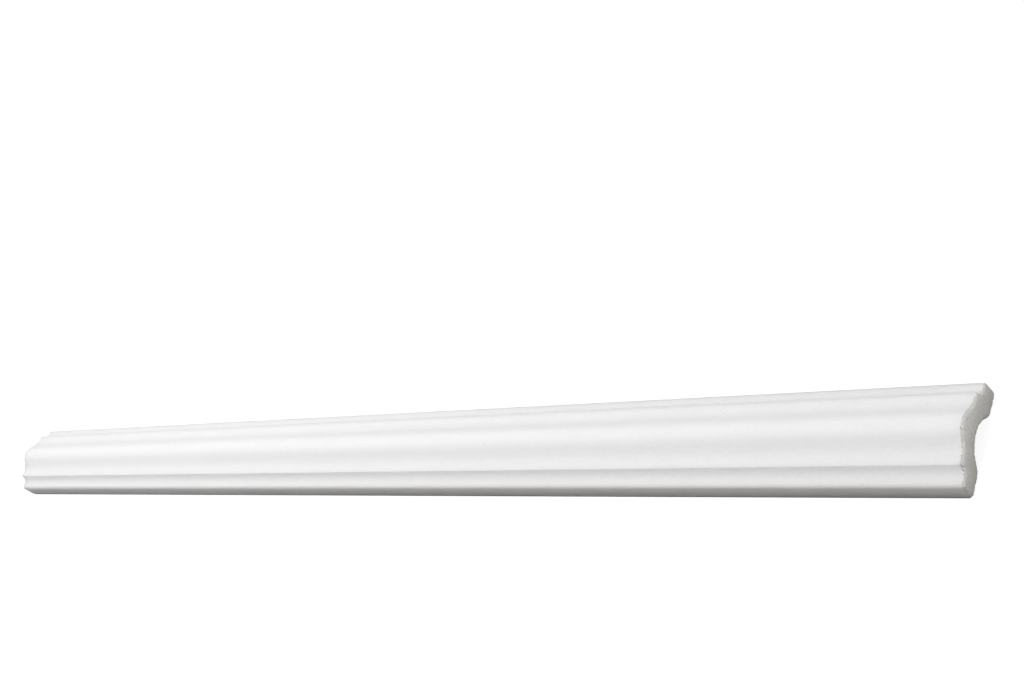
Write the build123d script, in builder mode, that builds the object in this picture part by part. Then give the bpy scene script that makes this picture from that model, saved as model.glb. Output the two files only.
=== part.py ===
from build123d import *
import os

# Decorative moulding of white polystyrene foam, one straight cut length, lying on its back.
# Millimetres. X runs along the length, Y across the width, Z out from the back plane.
# The origin is on the back plane, at the middle of the length and of the width.

# Overall size
LENGTH = 600.0
WIDTH = 38.0

# Thin strip along each long edge, and the round of its outer corner
EDGE_THICKNESS = 8.3
EDGE_STRIP_WIDTH = 2.5
EDGE_ROUND = 1.4

# Cove that steps up from the strip, and the small round of its lip
COVE_RADIUS = 3.3
LIP_ROUND = 0.3

# Flat between the lip and the centre roll
FLAT_WIDTH = 1.6

# Centre roll: an S-shaped rise from the flat to the crest, level at both ends.
# Each pull is how far the curve is held level, at the foot and at the crest.
ROLL_RISE = 4.5
FOOT_PULL = 5.7
CREST_PULL = 5.3

# Round hollow along the middle of the back, between the two feet
HOLLOW_WIDTH = 19.4
HOLLOW_DEPTH = 6.0

# Places that follow from the sizes
half_width = WIDTH / 2
half_hollow = HOLLOW_WIDTH / 2
cove_start = half_width - EDGE_STRIP_WIDTH
flat_height = EDGE_THICKNESS + COVE_RADIUS + LIP_ROUND
roll_foot = cove_start - COVE_RADIUS - LIP_ROUND - FLAT_WIDTH
crest_height = flat_height + ROLL_RISE

with BuildPart() as moulding:
    with BuildSketch(Plane.YZ) as section:
        # One half of the outline, from the back to the crest, then its mirror image
        with BuildLine():
            back = Line((0, 0), (half_width, 0))
            side = Line(back @ 1, (half_width, EDGE_THICKNESS - EDGE_ROUND))
            corner = JernArc(side @ 1, side % 1, EDGE_ROUND, 90)
            strip = Line(corner @ 1, (cove_start, EDGE_THICKNESS))
            cove = JernArc(strip @ 1, strip % 1, COVE_RADIUS, -90)
            lip = JernArc(cove @ 1, cove % 1, LIP_ROUND, 90)
            flat = Line(lip @ 1, (roll_foot, flat_height))
            Bezier(
                flat @ 1,
                (roll_foot - FOOT_PULL, flat_height),
                (CREST_PULL, crest_height),
                (0, crest_height),
            )
            mirror(about=Plane.YZ)
        make_face()
        with BuildLine():
            mouth = Line((-half_hollow, 0), (half_hollow, 0))
            ThreePointArc(mouth @ 0, (0, HOLLOW_DEPTH), mouth @ 1)
        make_face(mode=Mode.SUBTRACT)
    extrude(amount=LENGTH / 2, both=True)

moulding.part.label = "moulding"
os.makedirs("parts", exist_ok=True)
export_step(moulding.part, "parts/moulding.step")
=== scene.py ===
import math
import bpy
import numpy as np
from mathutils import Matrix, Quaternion, Vector, noise
from mathutils.geometry import delaunay_2d_cdt


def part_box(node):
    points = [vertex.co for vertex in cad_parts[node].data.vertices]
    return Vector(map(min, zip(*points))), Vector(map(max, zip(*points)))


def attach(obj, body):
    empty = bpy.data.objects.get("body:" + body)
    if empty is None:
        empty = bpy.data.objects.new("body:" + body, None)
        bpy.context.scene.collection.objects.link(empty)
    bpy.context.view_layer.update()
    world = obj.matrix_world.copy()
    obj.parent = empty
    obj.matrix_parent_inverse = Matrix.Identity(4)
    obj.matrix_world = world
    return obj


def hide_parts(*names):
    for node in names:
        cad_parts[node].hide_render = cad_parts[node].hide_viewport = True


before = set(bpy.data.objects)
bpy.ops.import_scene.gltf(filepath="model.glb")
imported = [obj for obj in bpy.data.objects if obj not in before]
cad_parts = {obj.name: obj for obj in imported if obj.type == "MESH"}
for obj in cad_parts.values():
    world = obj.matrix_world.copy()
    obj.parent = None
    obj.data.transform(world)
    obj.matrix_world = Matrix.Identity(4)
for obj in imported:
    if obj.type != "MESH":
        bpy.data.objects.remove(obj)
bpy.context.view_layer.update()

MM = 0.001
NODE = "moulding"
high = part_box(NODE)[1]

# Section, in metres: its width and depth come from the frame, and the rest repeats the solid
HALF_LENGTH = high.x
HALF_WIDTH = high.y
CREST_HEIGHT = high.z
EDGE_THICKNESS = 8.3 * MM
EDGE_STRIP_WIDTH = 2.5 * MM
EDGE_ROUND = 1.4 * MM
COVE_RADIUS = 3.3 * MM
LIP_ROUND = 0.3 * MM
FLAT_WIDTH = 1.6 * MM
FOOT_PULL = 5.7 * MM
CREST_PULL = 5.3 * MM
HALF_HOLLOW = 9.7 * MM
HOLLOW_DEPTH = 6.0 * MM

# Steps round the section, the fewest on an arc, the rise's length over its run, a normal's reach
OUTLINE_STEP = 0.36 * MM
ARC_POINTS = 5
ROLL_STRETCH = 1.1
NORMAL_REACH = 5

# Steps of the rings, growing away from both ends, and the angle in degrees of a sharp edge
FIRST_RING_STEP = 0.2 * MM
RING_GROWTH = 1.1
LAST_RING_STEP = 5.0 * MM
SHARP_ANGLE = 50

# Fineness of the cuts' mesh: the step between its points, shares of that step, and a seed
CUT_STEP = 0.22 * MM
ROW_SHARE = 0.87
JITTER_SHARE = 0.2
CLEARANCE_SHARE = 0.6
JITTER_SEED = 7

# How the cuts are triangulated: which triangles are kept, and how close points may lie
TRIANGLES_INSIDE = 1
WELD_DISTANCE = 1e-7

# Relief of the skin, inwards and not on the feet: streaks along the length, and long waves
STREAK_DEPTH = 0.015 * MM
STREAK_WIDTH = 1.5 * MM
WAVE_DEPTH = 0.03 * MM
WAVE_SIZE = 12 * MM
WAVE_STRETCH = 6
RELIEF_EASE = 1.0 * MM
FOOT_TOLERANCE = 0.01 * MM

# Wear of the rims of both ends, all of it inwards
RIM_RADIUS = 1.1 * MM
RIM_UNEVEN = 0.2
RIM_UNEVEN_SIZE = 4 * MM
BACK_RIM_EXTRA = 0.7 * MM
CORNER_WEAR = 0.8 * MM
CORNER_REACH = 1.2 * MM
CUT_SHARE_OF_RIM = 0.9

# Torn foam of the cuts, all of it inwards: cells with a finer grain, and crumbs gone from the rims
CELL_SIZE = 0.7 * MM
CELL_SHARE = 0.6
GRAIN_SIZE = 0.5 * MM
GRAIN_DEPTH = 0.32 * MM
CRUMB_SIZE = 0.9 * MM
CRUMB_START = 0.45
CRUMB_SHARPNESS = 3.0
CRUMB_DEPTH = 0.3 * MM

# Noise behind the relief
NOISE_FALLOFF = 1.0
OCTAVE_RATIO = 2.0
NOISE_SHIFT = Vector((0.0, 3.7, 1.3))

# Turns round a rim, from the skin to the cut: their middle, and the whole
EIGHTH_TURN = math.pi / 4
QUARTER_TURN = math.pi / 2

# Material slots of the mesh
SKIN_SLOT = 0
CUT_SLOT = 1

# Colours of the skin: two whites, and a painted shade for the low places between pebbles and in dents
SKIN_DULL = (0.92, 0.92, 0.92)
SKIN_BRIGHT = (0.94, 0.94, 0.94)
SKIN_PAINTED_SHADE = (0.88, 0.88, 0.88)

# Colours of the cuts: two for the walls of the cells, inside them, a painted shade near the back, and
# on the rims, where the colour of each pit is a painted shade
CUT_WARM = (0.82, 0.805, 0.77)
CUT_PALE = (0.88, 0.87, 0.845)
CUT_INSIDE = (0.92, 0.92, 0.91)
CUT_PAINTED_BACK_SHADE = (0.605, 0.590, 0.556)
CUT_RUBBED = (0.70, 0.69, 0.66)
CUT_CRUMB = (0.95, 0.95, 0.94)
CUT_PIT_SHADE = (0.40, 0.39, 0.37)

# How far up the cuts reach the painted shade that darkens them towards the back
BACK_SHADE_REACH = 0.8 * CREST_HEIGHT

# Scales of the patterns, for each metre: one for every axis, or along, across and up
STREAKS = (9.0, 900.0, 900.0)
SKIN_CLOUDS = (40.0, 90.0, 90.0)
PEBBLES = (600.0, 1100.0, 1100.0)
SHEEN = 700.0
DENTS = (300.0, 450.0, 450.0)
DENT_PATCHES = 120.0
OPEN_CELLS = 1500.0
FINE_GRAIN = 2600.0
CUT_CLOUDS = 220.0
RIM_PATCHES = 200.0
SPECKS = 1900.0

# Heights of the patterns as bumps
PEBBLE_BUMP = 0.08 * MM
STREAK_BUMP = 0.02 * MM
DENT_BUMP = 0.12 * MM
CELL_BUMP = 0.3 * MM
FINE_BUMP = 0.15 * MM

# How the foam takes light: how much of it goes in, how far, and how strongly the surface shines
SKIN_SCATTER = 1.0
CUT_SCATTER = 0.5
SCATTER_COLOUR = (1.0, 1.0, 1.0)
SCATTER_REACH = 7.0 * MM
SHINE = 0.35

# Roughness: the stretch of the noise that it follows, and its values at both ends of that
SHEEN_RANGE = (0.3, 0.7)
SKIN_ROUGHNESS = (0.52, 0.66)
CUT_ROUGHNESS = (0.7, 0.9)

# Floor and room: half the floor's side, what the camera sees, and what reaches the object
FLOOR_HALF = 20.0
FLOOR_SHOWN = (0.25, 0.25, 0.25)
FLOOR_GLOW = 0.88
FLOOR_BOUNCED = (0.045, 0.022, 0.0)
ROOM_COLOUR = (1.0, 1.0, 1.0)
ROOM_SHOWN = 1.0
ROOM_LEVEL = 0.28

# Camera at the photograph's viewing angle: metres, degrees of roll, and millimetres of lens
CAMERA_PLACE = (0.53181, -0.21538, 0.40200)
CAMERA_AIM = (0.06197, 0.05765, 0.0)
CAMERA_ROLL = -51.087
CAMERA_LENS = 53.318
CAMERA_SENSOR = 36.0
CAMERA_NEAREST = 0.01


# Outline of the section

def straight(start, end):
    """Points from start up to, but not at, end."""
    start, end = np.array(start), np.array(end)
    count = max(1, round(float(np.linalg.norm(end - start)) / OUTLINE_STEP))
    return start + (end - start) * np.arange(count)[:, None] / count


def arc(centre, radius, start, end):
    """Points on a circle from angle start up to, but not at, angle end, in degrees."""
    sweep = math.radians(end - start)
    count = max(ARC_POINTS, round(abs(sweep) * radius / OUTLINE_STEP))
    angles = math.radians(start) + sweep * np.arange(count) / count
    return np.array(centre) + radius * np.stack([np.cos(angles), np.sin(angles)], 1)


def roll_curve(foot, crest):
    """Points on the S-shaped rise, level at both ends, up to but not at the crest."""
    foot_hold = (foot[0] - FOOT_PULL, foot[1])
    crest_hold = (crest[0] + CREST_PULL, crest[1])
    run = foot[0] - crest[0]
    count = round(ROLL_STRETCH * run / OUTLINE_STEP)
    t = np.arange(count)[:, None] / count
    held = [np.array(p) for p in (foot, foot_hold, crest_hold, crest)]
    weights = [(1 - t) ** 3, 3 * (1 - t) ** 2 * t, 3 * (1 - t) * t ** 2, t ** 3]
    return sum(w * p for w, p in zip(weights, held))


def half_outline():
    """The +Y half of the section, from the mouth of the hollow round to the crest."""
    cove_start = HALF_WIDTH - EDGE_STRIP_WIDTH
    cove_top = (cove_start - COVE_RADIUS, EDGE_THICKNESS + COVE_RADIUS)
    flat_height = cove_top[1] + LIP_ROUND
    lip_end = cove_top[0] - LIP_ROUND
    foot = (lip_end - FLAT_WIDTH, flat_height)
    corner = (HALF_WIDTH - EDGE_ROUND, EDGE_THICKNESS - EDGE_ROUND)
    return np.concatenate([
        straight((HALF_HOLLOW, 0), (HALF_WIDTH, 0)),
        straight((HALF_WIDTH, 0), (HALF_WIDTH, corner[1])),
        arc(corner, EDGE_ROUND, 0, 90),
        straight((corner[0], EDGE_THICKNESS), (cove_start, EDGE_THICKNESS)),
        arc((cove_start, cove_top[1]), COVE_RADIUS, 270, 180),
        arc((lip_end, cove_top[1]), LIP_ROUND, 0, 90),
        straight((lip_end, flat_height), foot),
        roll_curve(foot, (0, CREST_HEIGHT)),
        [(0, CREST_HEIGHT)],
    ])


def section_outline():
    """The section as a closed loop of (y, z) points, anticlockwise seen from +X."""
    half = half_outline()
    other_half = half[-2::-1] * (-1, 1)
    radius = (HALF_HOLLOW ** 2 + HOLLOW_DEPTH ** 2) / (2 * HOLLOW_DEPTH)
    reach = math.degrees(math.asin(HALF_HOLLOW / radius))
    hollow = arc((0, HOLLOW_DEPTH - radius), radius, 90 + reach, 90 - reach)
    return np.concatenate([half, other_half, hollow[1:]])


def smooth_normals(outline):
    """Outward unit normals of the loop, each averaged with its neighbours."""
    along = np.roll(outline, -1, 0) - np.roll(outline, 1, 0)
    normals = np.stack([along[:, 1], -along[:, 0]], 1)
    normals /= np.linalg.norm(normals, axis=1)[:, None]
    mean = sum(np.roll(normals, k, 0) for k in range(-NORMAL_REACH, NORMAL_REACH + 1))
    return mean / np.linalg.norm(mean, axis=1)[:, None]


# Relief

def end_at(x):
    """The end that the place x belongs to: 1 for the near end, at +X, and -1 for the far one."""
    return 1 if x > 0 else -1


def fractal(point, size, octaves=3):
    """Smooth noise, mostly from 0 to 1, with features of about this size."""
    place = Vector(point) / size + NOISE_SHIFT
    return 0.5 + 0.5 * noise.fractal(place, NOISE_FALLOFF, OCTAVE_RATIO, octaves)


def rim_radius(point, normal, end):
    """How far the rim of an end is worn round at this point, most at the corners of the back."""
    y, z = point
    uneven = RIM_UNEVEN * fractal((y, z, end * HALF_LENGTH), RIM_UNEVEN_SIZE, octaves=2)
    to_corner = min(math.hypot(abs(y) - corner, z) for corner in (HALF_HOLLOW, HALF_WIDTH))
    corner_wear = CORNER_WEAR * math.exp(-(to_corner / CORNER_REACH) ** 2)
    back_wear = BACK_RIM_EXTRA * max(0.0, -normal[1])
    return RIM_RADIUS * (1 - RIM_UNEVEN / 2 + uneven) + back_wear + corner_wear


def torn_depth(point, turn):
    """How deep the foam is torn at a turn round the rim, from 0 on the skin to a quarter on the cut.

    The grain of the cells grows up to the cut, and crumbs are missing most halfway round.
    """
    cell = min(1.0, noise.voronoi(Vector(point) / CELL_SIZE)[0][0])
    grain = CELL_SHARE * cell + (1 - CELL_SHARE) * fractal(point, GRAIN_SIZE)
    bite = CRUMB_SHARPNESS * (fractal(point, CRUMB_SIZE) - CRUMB_START)
    crumb = min(1.0, max(0.0, bite))
    return GRAIN_DEPTH * grain * math.sin(turn) + CRUMB_DEPTH * crumb * math.sin(2 * turn)


def worn_place(point, normal, end, radius, turn):
    """Where a point of the outline goes, worn back by a turn round the rim of this end."""
    x = end * HALF_LENGTH - end * radius * (1 - math.sin(turn))
    depth = torn_depth((x, *point), turn)
    from_end = radius - (radius - depth) * math.sin(turn)
    inwards = radius - (radius - depth) * math.cos(turn)
    return (
        end * (HALF_LENGTH - from_end),
        point[0] - normal[0] * inwards,
        point[1] - normal[1] * inwards,
    )


def skin_place(x, point, normal, radius, streak):
    """Where a point of the sweep goes: round the rim near an end, and else inwards by its relief."""
    from_end = HALF_LENGTH - abs(x)
    if from_end < radius:
        turn = EIGHTH_TURN * (1 - from_end / radius)
        return worn_place(point, normal, end_at(x), radius, turn)
    on_foot = point[1] < FOOT_TOLERANCE
    ease = 0 if on_foot else min(1, (from_end - radius) / RELIEF_EASE)
    wave = WAVE_DEPTH * fractal((x / WAVE_STRETCH, *point), WAVE_SIZE, octaves=2)
    inwards = ease * (streak + wave)
    return (x, point[0] - normal[0] * inwards, point[1] - normal[1] * inwards)


def cut_place(point, outline, normals, end, radii):
    """Where a point inside the section goes: round the rim near the outline, and else to the cut."""
    gaps = np.hypot(outline[:, 0] - point[0], outline[:, 1] - point[1])
    nearest = int(gaps.argmin())
    gap = gaps[nearest]
    radius = radii[nearest]
    normal = normals[nearest]
    if gap < radius:
        turn = EIGHTH_TURN * (1 + gap / radius)
        return worn_place(point + normal * gap, normal, end, radius, turn)
    depth = torn_depth((end * HALF_LENGTH, *point), QUARTER_TURN)
    return (end * (HALF_LENGTH - depth), *point)


# Mesh of the moulding

def put_in_scene(name, data):
    """A new object in the scene that holds the data."""
    made = bpy.data.objects.new(name, data)
    bpy.context.scene.collection.objects.link(made)
    return made


def ring_places():
    """Places along X of the rings, close together at both ends."""
    offsets = [0.0]
    step = FIRST_RING_STEP
    while offsets[-1] + step < HALF_LENGTH:
        offsets.append(offsets[-1] + step)
        step = min(step * RING_GROWTH, LAST_RING_STEP)
    from_end = np.array(offsets)
    return np.concatenate([from_end - HALF_LENGTH, [0.0], (HALF_LENGTH - from_end)[::-1]])


def skin_vertices(outline, normals, places, radii):
    """Rings of the swept skin, with its streaks and waves, up to the middle of each worn rim."""
    lengths = np.linalg.norm(outline - np.roll(outline, 1, 0), axis=1)
    streaks = [STREAK_DEPTH * fractal((s, 0, 0), STREAK_WIDTH) for s in np.cumsum(lengths)]
    vertices = []
    for x in places:
        for point, normal, radius, streak in zip(outline, normals, radii[end_at(x)], streaks):
            vertices.append(skin_place(x, point, normal, radius, streak))
    return vertices


def skin_faces(places, radii):
    """Faces between the rings, and the material slot of each."""
    count = len(radii[1])
    faces = []
    slots = []
    for ring in range(len(places) - 1):
        middle = (places[ring] + places[ring + 1]) / 2
        for k, radius in enumerate(radii[end_at(middle)]):
            a = ring * count + k
            b = ring * count + (k + 1) % count
            faces.append((a, b, b + count, a + count))
            torn = HALF_LENGTH - abs(middle) < CUT_SHARE_OF_RIM * radius
            slots.append(CUT_SLOT if torn else SKIN_SLOT)
    return faces, slots


def inside(points, outline):
    """Which of the points lie inside the loop."""
    found = np.zeros(len(points), bool)
    for a, b in zip(outline, np.roll(outline, -1, 0)):
        crosses = (a[1] > points[:, 1]) != (b[1] > points[:, 1])
        rise = b[1] - a[1] if b[1] != a[1] else 1.0
        at = a[0] + (points[:, 1] - a[1]) * (b[0] - a[0]) / rise
        found ^= crosses & (points[:, 0] < at)
    return found


def cut_points(outline):
    """Jittered grid of points inside the section, clear of its outline."""
    random = np.random.default_rng(JITTER_SEED)
    across = np.arange(-HALF_WIDTH, HALF_WIDTH, CUT_STEP)
    rows = np.arange(0, CREST_HEIGHT, CUT_STEP * ROW_SHARE)
    grid = np.array([(y + (k % 2) * CUT_STEP / 2, z) for k, z in enumerate(rows) for y in across])
    grid += random.uniform(-JITTER_SHARE, JITTER_SHARE, grid.shape) * CUT_STEP
    grid = grid[inside(grid, outline)]
    gaps = np.linalg.norm(grid[:, None] - outline[None], axis=2).min(1)
    return grid[gaps > CLEARANCE_SHARE * CUT_STEP]


def cut_mesh(outline, normals, end, radii):
    """Vertices inside one cut end, and its triangles, which number the outline's points first."""
    count = len(outline)
    points = np.concatenate([outline, cut_points(outline)])
    corners = [Vector(p) for p in points]
    edges = [(k, (k + 1) % count) for k in range(count)]
    made = delaunay_2d_cdt(corners, edges, [], TRIANGLES_INSIDE, WELD_DISTANCE)
    if len(made[0]) != len(points):
        raise RuntimeError("the triangulation of a cut end added or lost points")
    vertices = [cut_place(p, outline, normals, end, radii) for p in points[count:]]
    return vertices, made[2]


def moulding_shape():
    """Vertices, faces and material slots of the closed shape: swept skin and two cut ends."""
    outline = section_outline()
    count = len(outline)
    normals = smooth_normals(outline)
    places = ring_places()
    radii = {end: [rim_radius(p, n, end) for p, n in zip(outline, normals)] for end in (-1, 1)}
    vertices = skin_vertices(outline, normals, places, radii)
    faces, slots = skin_faces(places, radii)
    for end, ring in ((-1, 0), (1, len(places) - 1)):
        extra, triangles = cut_mesh(outline, normals, end, radii[end])
        start = len(vertices)
        vertices.extend(extra)
        for triangle in triangles:
            corners = [ring * count + k if k < count else start + k - count for k in triangle]
            faces.append(tuple(corners if end > 0 else reversed(corners)))
            slots.append(CUT_SLOT)
    return vertices, faces, slots


def make_moulding():
    """The whole moulding as one object, smooth but for its sharp edges."""
    vertices, faces, slots = moulding_shape()
    mesh = bpy.data.meshes.new("foam_moulding")
    mesh.from_pydata(vertices, [], faces)
    mesh.validate()
    mesh.polygons.foreach_set("material_index", slots)
    mesh.polygons.foreach_set("use_smooth", [True] * len(faces))
    mesh.set_sharp_from_angle(angle=math.radians(SHARP_ANGLE))
    mesh.update()
    return put_in_scene("foam_moulding", mesh)


# Nodes

class Nodes:
    """Short ways to add nodes to a tree. Each input takes a constant or the output of a node."""

    def __init__(self, tree):
        self.tree = tree

    def put(self, value, socket):
        """Joins an output to the socket, or puts a constant on it."""
        if isinstance(value, bpy.types.NodeSocket):
            self.tree.links.new(value, socket)
        elif socket.type == "RGBA":
            socket.default_value = (*value, 1.0)
        else:
            socket.default_value = value

    def add(self, kind, inputs=None, **settings):
        """A new node of this kind, with its inputs by name or number, and its settings."""
        node = self.tree.nodes.new(kind)
        for name, value in settings.items():
            setattr(node, name, value)
        for name, value in (inputs or {}).items():
            self.put(value, node.inputs[name])
        return node

    def place(self):
        """The place on the object, in metres along its own axes."""
        return self.add("ShaderNodeTexCoord").outputs["Object"]

    def scaled(self, scale):
        """The place on the object times scale, a number or one for each axis."""
        factors = scale if isinstance(scale, tuple) else (scale,) * 3
        mapping = self.add("ShaderNodeMapping", {"Vector": self.place(), "Scale": factors})
        return mapping.outputs["Vector"]

    def noise(self, scale, detail=2.0, roughness=0.5):
        """Smooth noise, mostly from 0 to 1."""
        inputs = {"Vector": self.scaled(scale), "Scale": 1.0, "Detail": detail, "Roughness": roughness}
        return self.add("ShaderNodeTexNoise", inputs).outputs["Fac"]

    def cells(self, scale):
        """How far the nearest of many scattered points is."""
        inputs = {"Vector": self.scaled(scale), "Scale": 1.0}
        return self.add("ShaderNodeTexVoronoi", inputs).outputs["Distance"]

    def ranged(self, value, start, end, at_start=0.0, at_end=1.0):
        """From at_start, where the value is start, evenly to at_end, where it is end."""
        limits = {"From Min": start, "From Max": end, "To Min": at_start, "To Max": at_end}
        return self.add("ShaderNodeMapRange", {"Value": value, **limits}).outputs["Result"]

    def math(self, operation, first, second=0.0):
        """The operation on one number or two."""
        node = self.add("ShaderNodeMath", {0: first, 1: second}, operation=operation)
        return node.outputs["Value"]

    def mixed(self, factor, first, second):
        """From the first colour, where factor is 0, to the second, where it is 1."""
        node = self.add("ShaderNodeMix", {"Factor": factor}, data_type="RGBA")
        colours = {socket.name: socket for socket in node.inputs if socket.type == "RGBA"}
        self.put(first, colours["A"])
        self.put(second, colours["B"])
        return [socket for socket in node.outputs if socket.type == "RGBA"][0]

    def bump(self, height, depth, under=None):
        """The normal, bent by a height from 0 to 1 that stands for depth metres."""
        inputs = {"Strength": 1.0, "Distance": depth, "Height": height}
        if under is not None:
            inputs["Normal"] = under
        return self.add("ShaderNodeBump", inputs).outputs["Normal"]


def new_material(name):
    """A new material, and the nodes of it."""
    material = bpy.data.materials.new(name)
    material.use_nodes = True
    return material, Nodes(material.node_tree)


# Materials of the foam

def set_foam(nodes, scatter, colour, roughness, normal):
    """Makes the shader a dull foam that lets light in a little way."""
    looks = {
        "Base Color": colour,
        "Roughness": roughness,
        "Normal": normal,
        "Subsurface Weight": scatter,
        "Subsurface Radius": SCATTER_COLOUR,
        "Subsurface Scale": SCATTER_REACH,
        "Specular IOR Level": SHINE,
    }
    shader = nodes.tree.nodes["Principled BSDF"]
    for name, value in looks.items():
        nodes.put(value, shader.inputs[name])


def skin_material():
    """The extruded skin: matte white, with faint streaks along it, pebbles and small dents, and
    painted shade in the low places between the pebbles and in the dents.
    """
    material, nodes = new_material("foam_skin")
    streaks = nodes.noise(STREAKS)
    clouds = nodes.noise(SKIN_CLOUDS, detail=3.0)
    tone = nodes.ranged(nodes.math("ADD", streaks, clouds), start=0.7, end=1.3)
    white = nodes.mixed(tone, SKIN_DULL, SKIN_BRIGHT)
    pebbles = nodes.noise(PEBBLES, detail=3.0, roughness=0.6)
    # Painted shade: the low places between the pebbles and in the dents are coloured darker
    between = nodes.ranged(pebbles, start=0.35, end=0.65, at_start=0.5, at_end=0.0)
    pebbled = nodes.mixed(between, white, SKIN_PAINTED_SHADE)
    hollows = nodes.ranged(nodes.cells(DENTS), start=0.05, end=0.30, at_start=1.0, at_end=0.0)
    sparse = nodes.ranged(nodes.noise(DENT_PATCHES), start=0.5, end=0.6)
    dents = nodes.math("MULTIPLY", hollows, sparse)
    colour = nodes.mixed(dents, pebbled, SKIN_PAINTED_SHADE)
    roughness = nodes.ranged(nodes.noise(SHEEN), *SHEEN_RANGE, *SKIN_ROUGHNESS)
    pebble_normal = nodes.bump(pebbles, PEBBLE_BUMP)
    streak_normal = nodes.bump(streaks, STREAK_BUMP, pebble_normal)
    normal = nodes.bump(nodes.math("SUBTRACT", 1.0, dents), DENT_BUMP, streak_normal)
    set_foam(nodes, SKIN_SCATTER, colour, roughness, normal)
    return material


def open_cells(nodes, cells, fine):
    """Colour of the torn foam: bright inside the cells, with warm and pale walls between them."""
    middles = nodes.ranged(cells, start=0.0, end=0.8, at_start=1.0, at_end=0.0)
    bright = nodes.ranged(nodes.math("ADD", middles, fine), start=0.5, end=1.4)
    clouds = nodes.ranged(nodes.noise(CUT_CLOUDS), start=0.35, end=0.65)
    return nodes.mixed(bright, nodes.mixed(clouds, CUT_WARM, CUT_PALE), CUT_INSIDE)


def shaded_and_rubbed(nodes, colour, facing):
    """The colour, with a painted shade that darkens it towards the back, and darker where the rim is
    rubbed round.
    """
    height = nodes.add("ShaderNodeSeparateXYZ", {"Vector": nodes.place()}).outputs["Z"]
    # Painted shade: the cut is coloured darker towards its back
    back_shade = nodes.ranged(height, start=0.0, end=BACK_SHADE_REACH, at_start=1.0, at_end=0.0)
    rubbed = nodes.ranged(facing, start=0.6, end=0.95, at_start=1.0, at_end=0.0)
    return nodes.mixed(rubbed, nodes.mixed(back_shade, colour, CUT_PAINTED_BACK_SHADE), CUT_RUBBED)


def crumbled(nodes, colour, facing):
    """The colour, with bright crumbs, and dark specks of painted shade where the foam is pitted, in
    patches, most of them on the rim.
    """
    rim = nodes.ranged(facing, start=0.75, end=0.99, at_start=1.0, at_end=0.2)
    patches = nodes.ranged(nodes.noise(RIM_PATCHES), start=0.42, end=0.58, at_start=0.15)
    broken = nodes.math("MULTIPLY", rim, patches)
    specks = nodes.noise(SPECKS, roughness=0.6)
    crumbs = nodes.math("MULTIPLY", broken, nodes.ranged(specks, start=0.49, end=0.55))
    # Painted shade: dark specks stand for the shade in the foam's pitted hollows
    pit_shade = nodes.math("MULTIPLY", broken, nodes.ranged(specks, start=0.44, end=0.37))
    return nodes.mixed(pit_shade, nodes.mixed(crumbs, colour, CUT_CRUMB), CUT_PIT_SHADE)


def cut_material():
    """The cut ends: open cells, rougher and a little darker and warmer than the skin."""
    material, nodes = new_material("foam_cut")
    cells = nodes.cells(OPEN_CELLS)
    fine = nodes.noise(FINE_GRAIN, detail=4.0, roughness=0.65)
    geometry = nodes.add("ShaderNodeNewGeometry")
    parts = nodes.add("ShaderNodeSeparateXYZ", {"Vector": geometry.outputs["Normal"]})
    facing = nodes.math("ABSOLUTE", parts.outputs["X"])
    colour = crumbled(nodes, shaded_and_rubbed(nodes, open_cells(nodes, cells, fine), facing), facing)
    roughness = nodes.ranged(fine, *SHEEN_RANGE, *CUT_ROUGHNESS)
    normal = nodes.bump(fine, FINE_BUMP, nodes.bump(cells, CELL_BUMP))
    set_foam(nodes, CUT_SCATTER, colour, roughness, normal)
    return material


# Stage

def seen_directly(nodes):
    """1 where a camera, glossy or transmitted ray looks, and 0 for the light that bounces."""
    path = nodes.add("ShaderNodeLightPath").outputs
    seen = nodes.math("MAXIMUM", path["Is Camera Ray"], path["Is Glossy Ray"])
    return nodes.math("MAXIMUM", seen, path["Is Transmission Ray"])


def make_floor():
    """A large plain floor that looks white and keeps the moulding's soft shadow."""
    sides = ((-1, -1), (1, -1), (1, 1), (-1, 1))
    mesh = bpy.data.meshes.new("floor")
    mesh.from_pydata([(x * FLOOR_HALF, y * FLOOR_HALF, 0) for x, y in sides], [], [(0, 1, 2, 3)])
    material, nodes = new_material("floor_paper")
    nodes.tree.nodes.clear()
    bounced = nodes.add("ShaderNodeBsdfDiffuse", {"Color": FLOOR_BOUNCED}).outputs["BSDF"]
    shown = nodes.add("ShaderNodeBsdfDiffuse", {"Color": FLOOR_SHOWN}).outputs["BSDF"]
    glow = nodes.add("ShaderNodeEmission", {"Strength": FLOOR_GLOW}).outputs["Emission"]
    white = nodes.add("ShaderNodeAddShader", {0: shown, 1: glow}).outputs["Shader"]
    choice = nodes.add("ShaderNodeMixShader", {0: seen_directly(nodes), 1: bounced, 2: white})
    nodes.add("ShaderNodeOutputMaterial", {"Surface": choice.outputs["Shader"]})
    mesh.materials.append(material)
    floor = put_in_scene("floor", mesh)


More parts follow.
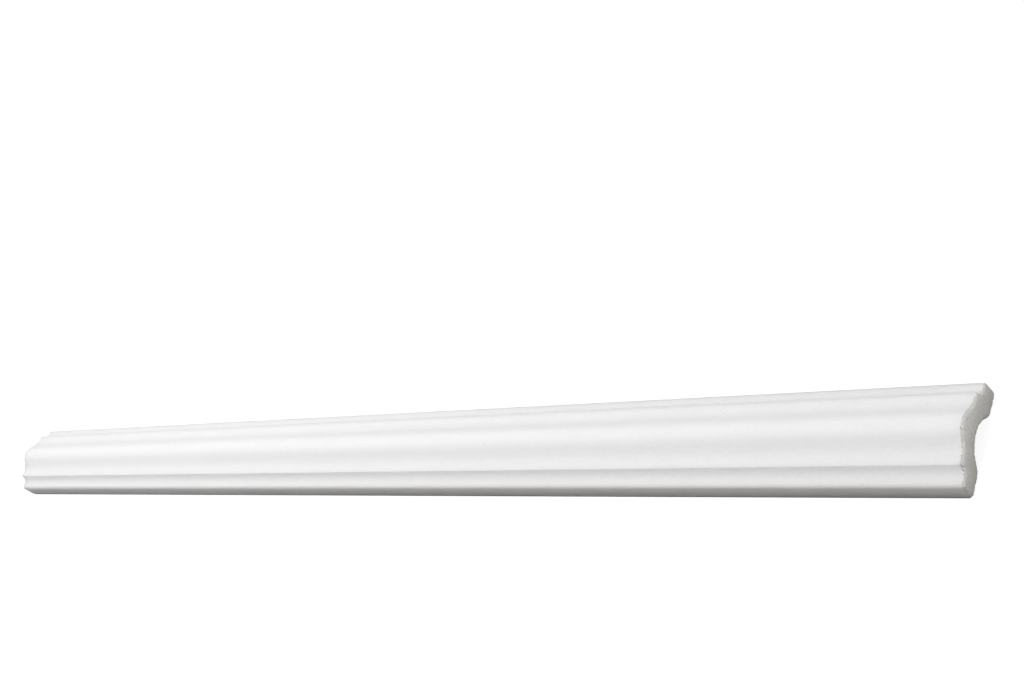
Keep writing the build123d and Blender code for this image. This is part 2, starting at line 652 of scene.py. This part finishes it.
def make_world():
    """An even soft room: white where it is seen, and dimmer as light on the object."""
    world = bpy.data.worlds.new("room")
    world.use_nodes = True
    nodes = Nodes(world.node_tree)
    background = nodes.tree.nodes["Background"].inputs
    nodes.put(ROOM_COLOUR, background["Color"])
    seen = seen_directly(nodes)
    level = nodes.ranged(seen, start=0.0, end=1.0, at_start=ROOM_LEVEL, at_end=ROOM_SHOWN)
    nodes.put(level, background["Strength"])
    bpy.context.scene.world = world


def looking(place, aim):
    """The rotation that turns an object at place to look at aim."""
    return (Vector(aim) - Vector(place)).to_track_quat("-Z", "Y")


def add_light(name, kind, place, aim, energy):
    """The settings of a new light of this kind, which stands at place and looks at aim."""
    data = bpy.data.lights.new(name, kind)
    data.energy = energy
    light = put_in_scene(name, data)
    light.location = place
    light.rotation_euler = looking(place, aim).to_euler()
    return data


def add_sun(name, side, energy, spread):
    """Light from far off on this side of the origin, softened over spread degrees."""
    add_light(name, "SUN", side, (0, 0, 0), energy).angle = math.radians(spread)


def add_panel(name, place, aim, energy, size):
    """Light from a square panel, size metres across."""
    data = add_light(name, "AREA", place, aim, energy)
    data.shape = "SQUARE"
    data.size = size


def make_lights():
    """A broad soft key overhead, fills on the near end and the upper side, and one on the far end."""
    add_sun("key", side=(-0.15, -0.14, 1.0), energy=1.33, spread=50)
    add_sun("end_fill", side=(1.0, 0.10, 0.45), energy=1.10, spread=40)
    add_sun("side_fill", side=(-0.3, 1.0, 0.35), energy=0.14, spread=40)
    add_panel("far_fill", place=(-0.18, 0.08, 0.45), aim=(-0.18, 0, 0), energy=0.48, size=0.5)


def make_camera():
    """The camera, turned about its own line of sight by its roll."""
    data = bpy.data.cameras.new("camera")
    data.lens = CAMERA_LENS
    data.sensor_width = CAMERA_SENSOR
    data.clip_start = CAMERA_NEAREST
    camera = put_in_scene("camera", data)
    camera.location = CAMERA_PLACE
    roll = Quaternion((0, 0, 1), math.radians(CAMERA_ROLL))
    camera.rotation_euler = (looking(CAMERA_PLACE, CAMERA_AIM) @ roll).to_euler()
    bpy.context.scene.camera = camera


# Scene

moulding = make_moulding()
moulding.data.materials.append(skin_material())
moulding.data.materials.append(cut_material())
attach(moulding, "root")
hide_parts(NODE)

make_floor()
make_world()
make_lights()
make_camera()
bpy.context.scene.view_settings.view_transform = "Standard"
